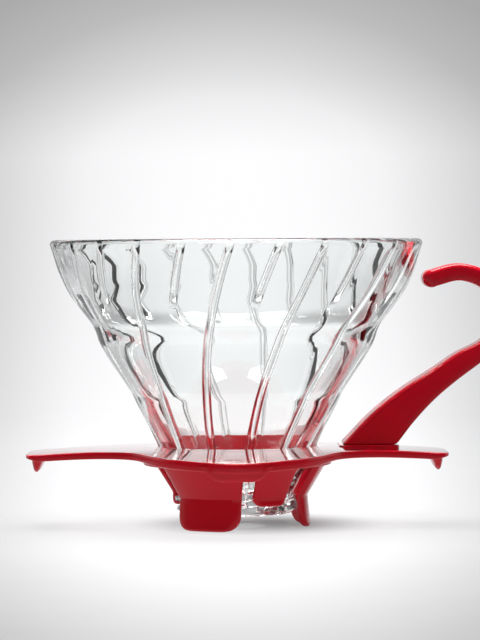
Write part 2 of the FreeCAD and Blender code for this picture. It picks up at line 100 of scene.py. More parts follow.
def ring_faces(rows, columns, closed_rows=False):
    """Quads between rows of points, each row a closed ring."""
    faces = []
    for row in range(rows if closed_rows else rows - 1):
        below = row * columns
        above = ((row + 1) % rows) * columns
        for column in range(columns):
            after = (column + 1) % columns
            faces.append((below + column, below + after, above + after, above + column))
    return faces


def loft(loops):
    """Points and faces of a capped solid through closed loops of equal length."""
    columns = len(loops[0])
    points = [point for loop in loops for point in loop]
    faces = ring_faces(len(loops), columns)
    faces.append(tuple(reversed(range(columns))))
    start = (len(loops) - 1) * columns
    faces.append(tuple(range(start, start + columns)))
    return points, faces


def join_solids(solids):
    """Several solids as one list of points and faces."""
    points = []
    faces = []
    for more_points, more_faces in solids:
        start = len(points)
        points += more_points
        faces += [tuple(start + corner for corner in face) for face in more_faces]
    return points, faces


def smooth_curve(points, per_span, closed=False):
    """Points along a smooth curve through the given ones (centripetal Catmull-Rom)."""
    vectors = [Vector(point) for point in points]
    if closed:
        padded = [vectors[-1]] + vectors + vectors[:2]
    else:
        first = vectors[0] * 2 - vectors[1]
        last = vectors[-1] * 2 - vectors[-2]
        padded = [first] + vectors + [last]
    result = []
    for before, start, end, after in zip(padded, padded[1:], padded[2:], padded[3:]):
        knot_1 = (start - before).length ** 0.5
        knot_2 = knot_1 + (end - start).length ** 0.5
        knot_3 = knot_2 + (after - end).length ** 0.5
        for step in range(per_span):
            at = knot_1 + (knot_2 - knot_1) * step / per_span
            a1 = before.lerp(start, at / knot_1)
            a2 = start.lerp(end, (at - knot_1) / (knot_2 - knot_1))
            a3 = end.lerp(after, (at - knot_2) / (knot_3 - knot_2))
            b1 = a1.lerp(a2, at / knot_2)
            b2 = a2.lerp(a3, (at - knot_1) / (knot_3 - knot_1))
            result.append(b1.lerp(b2, (at - knot_1) / (knot_2 - knot_1)))
    if not closed:
        result.append(vectors[-1])
    return result


def rounded_line(corners, steps):
    """A line of straight runs with the corners between them rounded off."""
    rounding = 0.4
    result = [corners[0]]
    for before, corner, after in zip(corners, corners[1:], corners[2:]):
        enter = Vector(corner).lerp(Vector(before), rounding)
        leave = Vector(corner).lerp(Vector(after), rounding)
        for step in range(steps + 1):
            share = step / steps
            spot = enter.lerp(Vector(corner), share).lerp(Vector(corner).lerp(leave, share), share)
            result.append((spot.x, spot.y))
    return result + [corners[-1]]


def ease(value, low, high):
    """0 below low, 1 above high, smooth between."""
    share = min(max((value - low) / (high - low), 0), 1)
    return share * share * (3 - 2 * share)


# ------------------------------------------------------------------ materials

GLASS_TINTS = ((0.955, 0.975, 0.968), (0.985, 0.992, 0.989))
RED_TINTS = ((0.47, 0.001, 0.010), (0.55, 0.002, 0.014))
CARD_GLOW = 0.6

# The paper. Its glow and colour are graded darker outwards as a painted pool of light; the grading is
# (position, brightness). Its painted shadow under the dripper has a place and a reach in metres.
PAPER = 0.09
PAPER_GLOW = 0.85
# Painted shadow under the dripper: the glow it drops to, its place and its fade.
PAINTED_SHADOW_GLOW = 0.12
PAINTED_SHADOW_PLACE = (0.006, 0.006, 0)
PAINTED_SHADOW_FADE = (0.004, 0.044)
PAINTED_LIGHT_SCALE = 0.25
PAINTED_LIGHT_GRADING = [(0.075, 1.0), (0.125, 0.965), (0.175, 0.915), (0.25, 0.73), (0.325, 0.55), (0.41, 0.44),
           (0.5, 0.5), (0.62, 0.75)]
BLUE_LIFT = 1.012


def new_material(name):
    """A node material with its node tree and its main shader."""
    material = bpy.data.materials.new(name)
    material.use_nodes = True
    tree = material.node_tree
    shader = tree.nodes["Principled BSDF"]
    return material, tree, shader


def noise(tree, scale, detail=3, rough=0.5):
    """Noise fixed to the object, from 0 to 1."""
    coordinates = tree.nodes.new("ShaderNodeTexCoord")
    texture = tree.nodes.new("ShaderNodeTexNoise")
    texture.inputs["Scale"].default_value = scale
    texture.inputs["Detail"].default_value = detail
    texture.inputs["Roughness"].default_value = rough
    tree.links.new(coordinates.outputs["Object"], texture.inputs["Vector"])
    return texture.outputs["Fac"]


def spread(tree, value, low, high):
    """The middle of a noise value spread over a narrow range."""
    mapping = tree.nodes.new("ShaderNodeMapRange")
    mapping.inputs["From Min"].default_value = 0.3
    mapping.inputs["From Max"].default_value = 0.7
    mapping.inputs["To Min"].default_value = low
    mapping.inputs["To Max"].default_value = high
    tree.links.new(value, mapping.inputs["Value"])
    return mapping.outputs["Result"]


def bump(tree, shader, height, strength, distance):
    """Fine unevenness of a surface."""
    node = tree.nodes.new("ShaderNodeBump")
    node.inputs["Strength"].default_value = strength
    node.inputs["Distance"].default_value = distance
    tree.links.new(height, node.inputs["Height"])
    tree.links.new(node.outputs["Normal"], shader.inputs["Normal"])


def mixed_colour(tree, value, dark, light):
    """A colour that wanders between two tints."""
    mix = tree.nodes.new("ShaderNodeMix")
    mix.data_type = "RGBA"
    mix.inputs[6].default_value = (*dark, 1)
    mix.inputs[7].default_value = (*light, 1)
    tree.links.new(value, mix.inputs["Factor"])
    return mix.outputs[2]


def glass_material():
    """Pressed heat-proof glass: clear, faintly grey-green, slightly uneven."""
    material, tree, shader = new_material("pressed_glass")
    shader.inputs["Transmission Weight"].default_value = 1.0
    shader.inputs["IOR"].default_value = 1.47
    tint = mixed_colour(tree, noise(tree, 18), *GLASS_TINTS)
    tree.links.new(tint, shader.inputs["Base Color"])
    tree.links.new(spread(tree, noise(tree, 60), 0.0, 0.02), shader.inputs["Roughness"])
    bump(tree, shader, noise(tree, 60, 1, 0.3), 0.05, 0.0003)
    return material


def plastic_material(name, low, high, coat, shine):
    """Red moulded plastic, its roughness from low to high, under a clear coat or none."""
    material, tree, shader = new_material(name)
    colour = mixed_colour(tree, noise(tree, 35), *RED_TINTS)
    tree.links.new(colour, shader.inputs["Base Color"])
    shader.inputs["IOR"].default_value = 1.5
    shader.inputs["Specular IOR Level"].default_value = shine
    shader.inputs["Coat Weight"].default_value = coat
    shader.inputs["Coat Roughness"].default_value = 0.03
    shader.inputs["Coat IOR"].default_value = 1.6
    tree.links.new(spread(tree, noise(tree, 120, 4), low, high), shader.inputs["Roughness"])
    bump(tree, shader, noise(tree, 300, 2, 0.6), 0.02, 0.0001)
    return material


def stage_material():
    """Pale glowing paper: glow and colour graded darker towards its edges as a painted pool of light, with a
    painted shadow under the dripper.
    """
    material, tree, shader = new_material("backdrop_paper")
    place = tree.nodes.new("ShaderNodeUVMap")
    place.uv_map = "grading"
    length = tree.nodes.new("ShaderNodeVectorMath")
    length.operation = "LENGTH"
    tree.links.new(place.outputs["UV"], length.inputs[0])
    # The painted pool of light: glow and colour darken with distance from the middle of the sheet.
    ramp = tree.nodes.new("ShaderNodeValToRGB")
    scale = tree.nodes.new("ShaderNodeMath")
    scale.operation = "MULTIPLY"
    scale.inputs[1].default_value = PAINTED_LIGHT_SCALE
    tree.links.new(length.outputs["Value"], scale.inputs[0])
    tree.links.new(scale.outputs["Value"], ramp.inputs["Fac"])
    ramp.color_ramp.interpolation = "LINEAR"
    elements = ramp.color_ramp.elements
    while len(elements) < len(PAINTED_LIGHT_GRADING):
        elements.new(0.5)
    for element, (position, value) in zip(elements, PAINTED_LIGHT_GRADING):
        element.position = position
        element.color = (value, value, value * BLUE_LIFT, 1)
    dim = tree.nodes.new("ShaderNodeMix")
    dim.data_type = "RGBA"
    dim.blend_type = "MULTIPLY"
    dim.inputs["Factor"].default_value = 1.0
    dim.inputs[7].default_value = (PAPER, PAPER, PAPER, 1)
    tree.links.new(ramp.outputs["Color"], dim.inputs[6])
    tree.links.new(dim.outputs[2], shader.inputs["Base Color"])
    tree.links.new(ramp.outputs["Color"], shader.inputs["Emission Color"])
    # A painted shadow: the paper's glow drops in a soft spot under the dripper.
    where = tree.nodes.new("ShaderNodeTexCoord")
    reach = tree.nodes.new("ShaderNodeVectorMath")
    reach.operation = "DISTANCE"
    reach.inputs[1].default_value = PAINTED_SHADOW_PLACE
    tree.links.new(where.outputs["Object"], reach.inputs[0])
    painted_shadow = tree.nodes.new("ShaderNodeMapRange")
    painted_shadow.interpolation_type = "SMOOTHSTEP"
    painted_shadow.inputs["From Min"].default_value = PAINTED_SHADOW_FADE[0]
    painted_shadow.inputs["From Max"].default_value = PAINTED_SHADOW_FADE[1]
    painted_shadow.inputs["To Min"].default_value = PAINTED_SHADOW_GLOW
    painted_shadow.inputs["To Max"].default_value = PAPER_GLOW
    tree.links.new(reach.outputs["Value"], painted_shadow.inputs["Value"])
    tree.links.new(painted_shadow.outputs["Result"], shader.inputs["Emission Strength"])
    tree.links.new(spread(tree, noise(tree, 40), 0.8, 0.9), shader.inputs["Roughness"])
    shader.inputs["Specular IOR Level"].default_value = 0.1
    return material


GLASS = glass_material()
RED = plastic_material("red_plastic", 0.16, 0.24, coat=0.0, shine=0.22)
GLOSSY_RED = plastic_material("red_plastic_glossy", 0.04, 0.08, coat=1.0, shine=0.5)


# ------------------------------------------------------------------ glass cone

TWIST_END = 1.3
TWIST_EASE = 2.9
RIB_STEPS = (0.25, 0.5, 0.72, 0.88, 0.97, 1.0, 1.12, 1.4)
BARE_WALL = 2.0
OUTSIDE, EDGE, INSIDE = 1, 0, -1
INSIDE_STEPS = 84
FOOT_ROUND = 0.8
NECK_ROW_START = 0.9
NECK_ROW_STEP = 0.24
NECK_ROWS = 24


def inner_radius(height):
    """Inside of the glass: a straight cone, then the bowed upper band."""
    inside = SHOULDER[0] - CONE_WALL
    if height <= SHOULDER[1]:
        return inside - CONE_SLOPE * (SHOULDER[1] - height)
    share = (height - SHOULDER[1]) / (RIM_TOP - WALL / 2 - SHOULDER[1])
    return inside + (RIM_RADIUS - WALL - inside) * share + INNER_BULGE * 4 * share * (1 - share)


def twist(height):
    """Turn of the ribs, in degrees, clockwise on the way down."""
    share = (RIM_TOP - height) / (RIM_TOP - SEAT[1])
    return -RIB_TWIST * math.sin(min(share, TWIST_END) * math.pi / TWIST_EASE)


def column_layout(radius):
    """Columns from a long rib to the next: (angle, share across the rib, kind: 0 long, 1 short)."""
    sector = 360 / RIB_COUNT
    half = math.degrees(RIB_HALF / radius)
    short_half = min(half, (sector / 2 - half * 1.4) * 0.65)
    offsets = [(step * half, step, 0) for step in RIB_STEPS]
    short = [(sector / 2 - step * short_half, step, 1) for step in reversed(RIB_STEPS)]
    gap_start = offsets[-1][0]
    gap_end = short[0][0]
    gap = [(gap_start + (gap_end - gap_start) * step / 4, BARE_WALL, 0) for step in (1, 2, 3)]
    half_sector = [(0, 0, 0)] + offsets + gap + short
    mirrored = [(sector - angle, step, kind) for angle, step, kind in reversed(half_sector[1:])]
    return half_sector + [(sector / 2, 0, 1)] + mirrored


def rib_bump(step, kind, height):
    """How far a rib stands out of the wall at a share across it."""
    if step >= 1:
        return 0
    swell = RIB_HEIGHT * (1 - step * step) ** RIB_FULLNESS
    fade_in = LONG_RIB_FADE if kind == 0 else SHORT_RIB_FADE
    return swell * ease(height, *fade_in) * (1 - ease(height, RIB_TOP - RIB_TOP_FADE, RIB_TOP))


def thread_bump(angle, height):
    """The three clamping ridges on the neck."""
    for number in range(THREAD_COUNT):
        offset = (angle - LEG_ANGLE - 360 // THREAD_COUNT * number + 180) % 360 - 180
        if abs(offset) > THREAD_HALF_SPAN:
            continue
        level = THREAD_MIDDLE + THREAD_LEAD * offset / 360
        share = abs(height - level) / (THREAD_THICK / 2)
        if share < THREAD_FLANK[1]:
            end = ease(abs(offset), THREAD_HALF_SPAN - THREAD_END_FADE, THREAD_HALF_SPAN)
            return THREAD_HEIGHT * (1 - ease(share, *THREAD_FLANK)) * (1 - end)
    return 0


def outer_profile():
    """Outside of the glass from the bottom of the neck to the rim, as (radius, height)."""
    neck = [(NECK_RADIUS, GLASS_BOTTOM + NECK_ROW_START + NECK_ROW_STEP * step) for step in range(NECK_ROWS)]
    corners = [(NECK_RADIUS, NECK_TOP), SEAT, (31.4, 38.4), (32.9, 42.0), (42.6, 56.4), (44.4, 62.6),
               (48.4, 67.7), (52.6, 73.4), (55.4, 79.4), (57.2, 85.4), (RIM_RADIUS, RIM_TOP - WALL / 2)]
    return neck + rounded_line(corners, 6)


def glass_rows():
    """The closed section of the glass, as (radius, height, side)."""
    bead = WALL / 2
    rows = [(radius, height, OUTSIDE) for radius, height in outer_profile()]
    centre = RIM_RADIUS - bead
    top = RIM_TOP - bead
    for step in range(1, 10):
        angle = math.pi * step / 10
        rows.append((centre + bead * math.cos(angle), top + bead * math.sin(angle), EDGE))
    for step in range(INSIDE_STEPS + 1):
        height = top + (GLASS_BOTTOM + FOOT_ROUND - top) * step / INSIDE_STEPS
        rows.append((inner_radius(height), height, INSIDE))
    low_inner = inner_radius(GLASS_BOTTOM)
    foot = [(low_inner + 0.1, GLASS_BOTTOM + 0.3), (low_inner + 0.7, GLASS_BOTTOM),
            ((low_inner + NECK_RADIUS) / 2, GLASS_BOTTOM), (NECK_RADIUS - 0.9, GLASS_BOTTOM),
            (NECK_RADIUS - 0.25, GLASS_BOTTOM + 0.3)]
    return rows + [(radius, height, EDGE) for radius, height in foot]


def make_glass():
    """The glass cone: its section swept round, with ribs inside and the thread on the neck."""
    points = []
    rows = glass_rows()
    columns = 0
    for radius, height, side in rows:
        layout = column_layout(radius if side == INSIDE else min(inner_radius(height), RIM_RADIUS))
        row = []
        for sector in range(RIB_COUNT):
            for offset, step, kind in layout:
                angle = RIB_START + sector * 360 / RIB_COUNT + offset + twist(height)
                reach = radius
                if side == INSIDE:
                    reach -= rib_bump(step, kind, height)
                if side == OUTSIDE and height < NECK_TOP:
                    reach += thread_bump(angle, height)
                turn = math.radians(angle)
                row.append((reach * math.cos(turn), reach * math.sin(turn), height))
        columns = len(row)
        points += row
    faces = ring_faces(len(rows), columns, closed_rows=True)
    piece = add_piece("glass_cone_body", points, faces, "glass", GLASS, 180)
    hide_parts("glass_cone")


# ------------------------------------------------------------------ base plate

DOME_TOP = 25.8
DOME_SIDE = 0.00058
DOME_FRONT = 0.00093
SIDE_LOBE = plate_high[0] / MM - 0.06
FRONT_LOBE = plate_high[1] / MM
EDGE_ROUND = 0.55
EDGE_THICK = 2.2
EDGE_BAND = 2.2
LOBE_EXTRA = 0.7
TIP_THINNING = 1.0
PLATE_THICK = 2.3
PLATE_STEPS = 9
LAND_RADIUS = 31.0
LAND_BOTTOM = 22.4
COLLAR_RADIUS = 25.3
COLLAR_BOTTOM = 20.4
CHAMFER = 0.3
SEAT_GAP = 0.1
SEAT_LIP = 0.45
SEAT_SLOPE = (STEP[0] - SEAT[0]) / (STEP[1] - SEAT[1])
POLISHED_RISE = 0.9
RIDGE_INSET = 1.9
RIDGE_SINK = 1.2
RIDGE_SETBACK = 1.2
RIDGE_LEAN = 0.7
RIDGE_STEPS = 14
RIDGE_POINTS = 24
FOOT_NEAR = 32.4
FOOT_FAR = 49.4
FOOT_HALF = 9.0
PAD_BOTTOM = 23.6
PAD_TOP = 25.6
PAD_GROW = 0.8
PAD_CORNER = 2.2


def dome(x, y):
    """Height of the top of the plate."""
    return DOME_TOP - DOME_SIDE * x * x - DOME_FRONT * y * y


def edge_thickness(x, y):
    """The lip is deeper on the front and back lobes, and thins out at the tips of the side lobes."""
    return EDGE_THICK + LOBE_EXTRA * ease(abs(y), 18, 40) - TIP_THINNING * ease(abs(x), 60.5, 65.6)


def plate_outline():
    """The four-lobed plan of the plate, anticlockwise."""
    right = [(SIDE_LOBE, 0.0), (SIDE_LOBE, 7.5), (SIDE_LOBE - 0.35, 10.6), (SIDE_LOBE - 1.4, 12.6),
             (SIDE_LOBE - 3.4, 13.5), (58.0, 13.8), (51.5, 14.9), (44.5, 17.0), (38.8, 19.9), (34.6, 22.6),
             (31.4, 25.6), (28.9, 29.6), (26.9, 33.6), (24.3, 38.2), (20.6, 42.8), (16.2, 46.6), (10.8, 50.2),
             (5.4, 52.9), (0.0, FRONT_LOBE)]
    top_left = [(-x, y) for x, y in reversed(right[:-1])]
    upper = right + top_left
    lower = [(x, -y) for x, y in reversed(upper[1:-1])]
    corners = [(x, y, 0) for x, y in upper + lower]
    return smooth_curve(corners, 5, closed=True)


def outward(loop):
    """Unit vectors that point out of a closed plan loop."""
    result = []
    for before, after in zip(loop[-1:] + loop[:-1], loop[1:] + loop[:1]):
        along = (after - before).normalized()
        result.append(Vector((along.y, -along.x, 0)))
    return result


def make_plate():
    """The plate: rows that go out over the top, round the edge and back in to the collar."""
    outline = plate_outline()
    normals = outward(outline)
    angles = [math.atan2(point.y, point.x) for point in outline]

    def circle(radius, height):
        """A level ring round the axis, with a point for each point of the outline."""
        return [(radius * math.cos(angle), radius * math.sin(angle), height) for angle in angles]

    def inset(distance, drop, under=False):
        """The outline drawn in by a distance, below the top or above the underside by a drop."""
        row = []
        for point, normal in zip(outline, normals):
            x = point.x - normal.x * distance
            y = point.y - normal.y * distance
            level = dome(x, y) - drop
            if under:
                level = dome(point.x, point.y) - edge_thickness(x, y) + drop
            row.append((x, y, level))
        return row

    def between(share, radius, inner_level, thickness):
        """A row part of the way from a ring round the axis to the edge band."""
        row = []
        for point, normal, angle in zip(outline, normals, angles):
            far_x = point.x - normal.x * EDGE_BAND
            far_y = point.y - normal.y * EDGE_BAND
            x = radius * math.cos(angle) * (1 - share) + far_x * share
            y = radius * math.sin(angle) * (1 - share) + far_y * share
            level = dome(x, y) - thickness
            if inner_level is not None:
                level = inner_level * (1 - share) + level * share
            row.append((x, y, level))
        return row

    seat_top = dome(SEAT[0], 0)
    seat_radius = SEAT[0] + SEAT_GAP + (seat_top - SEAT[1]) * SEAT_SLOPE
    low_radius = SEAT[0] + SEAT_GAP + (COLLAR_BOTTOM - SEAT[1]) * SEAT_SLOPE
    rows = [circle(seat_radius, seat_top - 0.35), circle(seat_radius + 0.12, seat_top - 0.1),
            circle(seat_radius + SEAT_LIP, seat_top)]
    for step in range(1, PLATE_STEPS):
        rows.append(between(step / PLATE_STEPS, seat_radius + SEAT_LIP, None, 0))
    rows += [inset(EDGE_BAND, 0), inset(1.2, 0)]
    quarter_turn = [math.pi / 2 * step / 3 for step in range(4)]
    for angle in quarter_turn:
        rows.append(inset(EDGE_ROUND * (1 - math.sin(angle)), EDGE_ROUND * (1 - math.cos(angle))))
    for angle in quarter_turn:
        distance = EDGE_ROUND * (1 - math.cos(angle))
        rows.append(inset(distance, EDGE_ROUND * (1 - math.sin(angle)), under=True))
    for step in range(PLATE_STEPS - 1, 0, -1):
        rows.append(between(step / PLATE_STEPS, LAND_RADIUS, LAND_BOTTOM + 0.6, PLATE_THICK))
    rows += [circle(radius, height) for radius, height in (
        (LAND_RADIUS, LAND_BOTTOM + CHAMFER), (LAND_RADIUS - CHAMFER, LAND_BOTTOM),
        (COLLAR_RADIUS + 0.02, LAND_BOTTOM), (COLLAR_RADIUS, LAND_BOTTOM - 0.05),
        (COLLAR_RADIUS, COLLAR_BOTTOM + CHAMFER), (COLLAR_RADIUS - CHAMFER, COLLAR_BOTTOM),
        (low_radius, COLLAR_BOTTOM))]
    points = [point for row in rows for point in row]
    faces = [tuple(reversed(face)) for face in ring_faces(len(rows), len(outline), closed_rows=True)]
    solids = [(points, faces)] + [seat_ridge(number) for number in range(4)] + [handle_pad()]
    points, faces = join_solids(solids)
    piece = add_piece("base_plate_body", points, faces, "holder", RED, 35)
    piece.data.materials.append(GLOSSY_RED)
    for polygon in piece.data.polygons:
        if polygon.normal.z > POLISHED_RISE:
            polygon.material_index = 1
    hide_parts("base_plate")


def seat_ridge(number):
    """A ridge under a lobe: long at the plate, short and rounded below."""
    on_side = number % 2 == 0
    reach = (SIDE_LOBE if on_side else FRONT_LOBE) - RIDGE_INSET
    turn = math.radians(90 * number)
    bottom = plate_low[2] / MM
    top = (dome(reach, 0) if on_side else dome(0, reach)) - RIDGE_SINK
    loops = []
    for step in range(RIDGE_STEPS + 1):
        share = step / RIDGE_STEPS
        height = bottom + (top - bottom) * share
        corner = 1 - (1 - min(share / 0.35, 1)) ** 2
        half = 4.6 + 1.9 * math.sqrt(max(corner, 0)) + 4.5 * share
        thick = 0.5 + 1.0 * math.sqrt(min(share / 0.2, 1)) + 2.2 * min(share / 0.7, 1)
        middle = reach - RIDGE_SETBACK - RIDGE_LEAN * share
        loop = []
        for corner_step in range(RIDGE_POINTS):
            angle = 2 * math.pi * corner_step / RIDGE_POINTS
            across = math.copysign(abs(math.cos(angle)) ** 0.5, math.cos(angle)) * thick / 2
            along = math.copysign(abs(math.sin(angle)) ** 0.5, math.sin(angle)) * half
            x = middle + across
            loop.append((x * math.cos(turn) - along * math.sin(turn),
                         x * math.sin(turn) + along * math.cos(turn), height))
        loops.append(loop)
    return loft(loops)


def rounded_box_loop(low_x, high_x, half_y, corner, height):
    """A level rectangle with rounded corners."""
    steps = 6
    loop = []
    for centre_x, centre_y, start in (
            (high_x - corner, half_y - corner, 0), (low_x + corner, half_y - corner, 90),
            (low_x + corner, corner - half_y, 180), (high_x - corner, corner - half_y, 270)):
        for step in range(steps + 1):
            angle = math.radians(start + 90 * step / steps)
            loop.append((centre_x + corner * math.cos(angle), centre_y + corner * math.sin(angle), height))
    return loop


def handle_pad():
    """The low flat pad that the handle's foot stands on, rounded off at its top edge."""
    loops = []
    for inward, corner, height in ((0, PAD_CORNER, PAD_BOTTOM), (0, PAD_CORNER, PAD_TOP - 0.3),
                                   (0.1, PAD_CORNER - 0.1, PAD_TOP - 0.1), (0.35, PAD_CORNER - 0.3, PAD_TOP)):
        loops.append(rounded_box_loop(FOOT_NEAR - PAD_GROW + inward, FOOT_FAR + PAD_GROW - inward,
                                      FOOT_HALF + PAD_GROW - inward, corner, height))
    return loft(loops)


# ------------------------------------------------------------------ turning ring

TAB_RADIUS = 21.9
TAB_FOOT_RADIUS = 22.8
TAB_THICK = 2.1
KNEE = 9.8
TAB_LEAN = math.tan(math.radians(30.6))
RING_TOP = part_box("lock_ring")[1][2] / MM
RING_BOTTOM = 19.4
RING_OUTER = 29.4
RING_INNER = 25.4
RING_COLUMNS = 144
LEG_ROUND = 0.55
LEG_STEPS = 14
LEG_END_STEPS = 6
LONG_LEG_HALF = 10.5
LONG_LEG_TOP_HALF = 14.8
FRONT_LEG_TOP_HALF = 15.6
FRONT_LEG_BACK = 2.4
LONG_LEG_CORNER = 4.2
SMALL_LEG_CORNER = 3.0
REAR_FOOT_HALF = 4.3
REAR_SHOULDER_TURN = 12
REAR_SHOULDER_BOTTOM = 6.0
REAR_SHOULDER_HALF = 8.6
REAR_SHOULDER_TOP_HALF = 14.5
SHORT_LEG_TURN = 67.0
SHORT_LEG_BOTTOM = 7.5
SHORT_LEG_HALF = 5.8
SHORT_LEG_TOP_HALF = 7.8
SHORT_LEG_BEND = 11.5
NOSE_SPAN = 17
NOSE_GAP = 0.12
NOSE_CLEARANCE = 0.4
NOSE_STEPS = 8
NOSE_HALF_THICK = 0.9


def leg_radius(height):
    """Outside of a leg: nearly upright, then leaning out above a crisp knee."""
    if height < KNEE:
        return TAB_RADIUS + (TAB_FOOT_RADIUS - TAB_RADIUS) * (KNEE - height) / KNEE
    return TAB_RADIUS + TAB_LEAN * (height - KNEE)


def leg_loop(angle, half, height, squeeze):
    """A level section of a leg: a bent strip with round edges."""
    outer = leg_radius(height) - squeeze
    inner = leg_radius(height) - TAB_THICK + squeeze
    middle = (outer + inner) / 2
    depth = (outer - inner) / 2
    end_round = min(LEG_ROUND * 1.6, half * 0.9)
    loop = []
    for step in range(LEG_STEPS + 1):
        along = (half - end_round) * (2 * step / LEG_STEPS - 1)
        loop.append((outer, along))
    for step in range(1, LEG_END_STEPS):
        turn = math.pi * step / LEG_END_STEPS
        loop.append((middle + depth * math.cos(turn), half - end_round + end_round * math.sin(turn)))
    for step in range(LEG_STEPS + 1):
        along = (half - end_round) * (1 - 2 * step / LEG_STEPS)
        loop.append((inner, along))
    for step in range(1, LEG_END_STEPS):
        turn = math.pi * step / LEG_END_STEPS
        loop.append((middle - depth * math.cos(turn), end_round - half - end_round * math.sin(turn)))
    result = []
    for radius, along in loop:
        across = math.asin(min(max(along / radius, -1), 1)) + math.radians(angle)
        result.append((radius * math.cos(across), radius * math.sin(across), height))
    return result


def leg(angle, bottom, foot_half, top_half, corner, bend):
    """One leg, from its rounded foot up into the ring; above the bend it flares."""
    loops = []
    for share in (0.0, 0.06, 0.16, 0.3, 0.5, 0.75, 1.0):
        height = bottom + corner * share
        half = foot_half - corner + corner * math.sqrt(max(1 - (1 - share) ** 2, 0))
        squeeze = LEG_ROUND * max(1 - share / 0.14, 0) * 0.9
        loops.append(leg_loop(angle, half, height, squeeze))
    top = RING_BOTTOM + 1.6
    flare_top = RING_BOTTOM + 6
    start = bottom + corner
    levels = [start + (KNEE - start) * step / 6 for step in range(1, 7) if KNEE > start]
    start = max(start, KNEE)
    levels += [start + (top - start) * step / 14 for step in range(1, 15)]
    for height in levels:
        half = foot_half + (top_half - foot_half) * max(height - bend, 0) / (flare_top - bend)
        loops.append(leg_loop(angle, half, height, 0))
    return loft(loops)


def turned_ring():
    """The bearing ring that carries the legs."""
    section = [(RING_INNER, RING_BOTTOM + 0.3), (RING_INNER, RING_TOP - 0.2),
               (RING_INNER + 0.2, RING_TOP), (RING_OUTER - 0.4, RING_TOP),
               (RING_OUTER - 0.1, RING_TOP - 0.1), (RING_OUTER, RING_TOP - 0.4),
               (RING_OUTER, RING_BOTTOM + 0.4), (RING_OUTER - 0.1, RING_BOTTOM + 0.1),
               (RING_OUTER - 0.4, RING_BOTTOM), (RING_INNER + 0.3, RING_BOTTOM)]
    points = []
    for radius, height in section:
        for column in range(RING_COLUMNS):
            turn = 2 * math.pi * column / RING_COLUMNS
            points.append((radius * math.cos(turn), radius * math.sin(turn), height))
    faces = ring_faces(len(section), RING_COLUMNS, closed_rows=True)
    return points, [tuple(reversed(face)) for face in faces]


def nose(angle):
    """The nose inside a long leg that rides on the glass thread, thinner at its two ends."""
    inner = NECK_RADIUS + NOSE_CLEARANCE
    outer = TAB_RADIUS - TAB_THICK / 2
    middle = THREAD_MIDDLE + THREAD_THICK + NOSE_GAP
    loops = []
    for step in range(NOSE_STEPS + 1):
        offset = NOSE_SPAN * (step / NOSE_STEPS - 0.5)
        level = middle + THREAD_LEAD * offset / 360
        end = abs(step / (NOSE_STEPS / 2) - 1)
        thick = NOSE_HALF_THICK - 0.35 * ease(end, 0.8, 1.0)
        turn = math.radians(angle + offset)
        section = [(outer, level - thick), (inner + 0.3, level - thick), (inner, level - thick + 0.3),
                   (inner, level + thick - 0.3), (inner + 0.3, level + thick), (outer, level + thick)]
        loops.append([(radius * math.cos(turn), radius * math.sin(turn), height)
                      for radius, height in section])
    return loft(loops)


def rear_leg(angle):
    """The rear long leg: a wide shoulder beside a narrow foot."""
    shoulder = leg(angle + REAR_SHOULDER_TURN, REAR_SHOULDER_BOTTOM, REAR_SHOULDER_HALF,
                   REAR_SHOULDER_TOP_HALF, SMALL_LEG_CORNER, KNEE + 1)
    return [shoulder, leg(angle, 0, REAR_FOOT_HALF, REAR_FOOT_HALF, SMALL_LEG_CORNER, KNEE)]


def make_ring():
    """The ring with its right, rear and front long legs, their noses and two short legs."""
    solids = [turned_ring()]
    for place, number in (("right", 0), ("rear", 1), ("front", 2)):
        angle = LEG_ANGLE + 360 // LEG_COUNT * number
        solids.append(nose(angle))
        if place == "rear":
            solids += rear_leg(angle)
        elif place == "front":
            angle -= FRONT_LEG_BACK
            solids.append(leg(angle, 0, LONG_LEG_HALF, FRONT_LEG_TOP_HALF, LONG_LEG_CORNER, KNEE))
        else:
            solids.append(leg(angle, 0, LONG_LEG_HALF, LONG_LEG_TOP_HALF, LONG_LEG_CORNER, KNEE))
        if place != "front":
            solids.append(leg(angle - SHORT_LEG_TURN, SHORT_LEG_BOTTOM, SHORT_LEG_HALF,
                              SHORT_LEG_TOP_HALF, SMALL_LEG_CORNER, SHORT_LEG_BEND))
    points, faces = join_solids(solids)
    piece = add_piece("lock_ring_body", points, faces, "ring", RED, 35)
    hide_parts("lock_ring")


# ------------------------------------------------------------------ handle

LOOP_X = 69.8
LOOP_Z = 66.0
LOOP_INNER = 10.2
LOOP_OUTER = 15.6
GRIP_HALF = 6.5
GRIP_START = 58
FOOT_CORNER = 1.4
GRIP_CORNER = 1.5
NEAR_LEAN = 0.86
FAR_LEAN = 0.6
TIP_STEPS = 8


def loop_point(radius, angle):
    """A point of the finger loop, drawn flat: x, then height, then 0."""
    turn = math.radians(angle)
    return (LOOP_X + radius * math.cos(turn), LOOP_Z + radius * math.sin(turn), 0)


def handle_edges():
    """The inner and outer edges of the handle, seen from the side, foot to tip."""
    inner = [(FOOT_NEAR, PAD_TOP, 0), (41.7, 35.2, 0), (50.9, 42.5, 0), (61.1, 49.0, 0), (68.2, 53.8, 0),
             loop_point(LOOP_INNER, -48), loop_point(LOOP_INNER, 0), loop_point(LOOP_INNER, 45),
             loop_point(LOOP_INNER + 0.1, 90), loop_point(LOOP_INNER + 1.3, 131)]
    outer = [(FOOT_FAR, PAD_TOP, 0), (54.8, 32.5, 0), (61.3, 39.4, 0), (68.2, 45.2, 0), (76.1, 51.0, 0),
             loop_point(LOOP_OUTER + 1.0, -32), loop_point(LOOP_OUTER + 0.5, 5),
             loop_point(LOOP_OUTER + 0.2, 47), loop_point(LOOP_OUTER + 0.1, 90),
             loop_point(LOOP_OUTER + 1.5, 128)]
    return smooth_curve(inner, 7), smooth_curve(outer, 7)


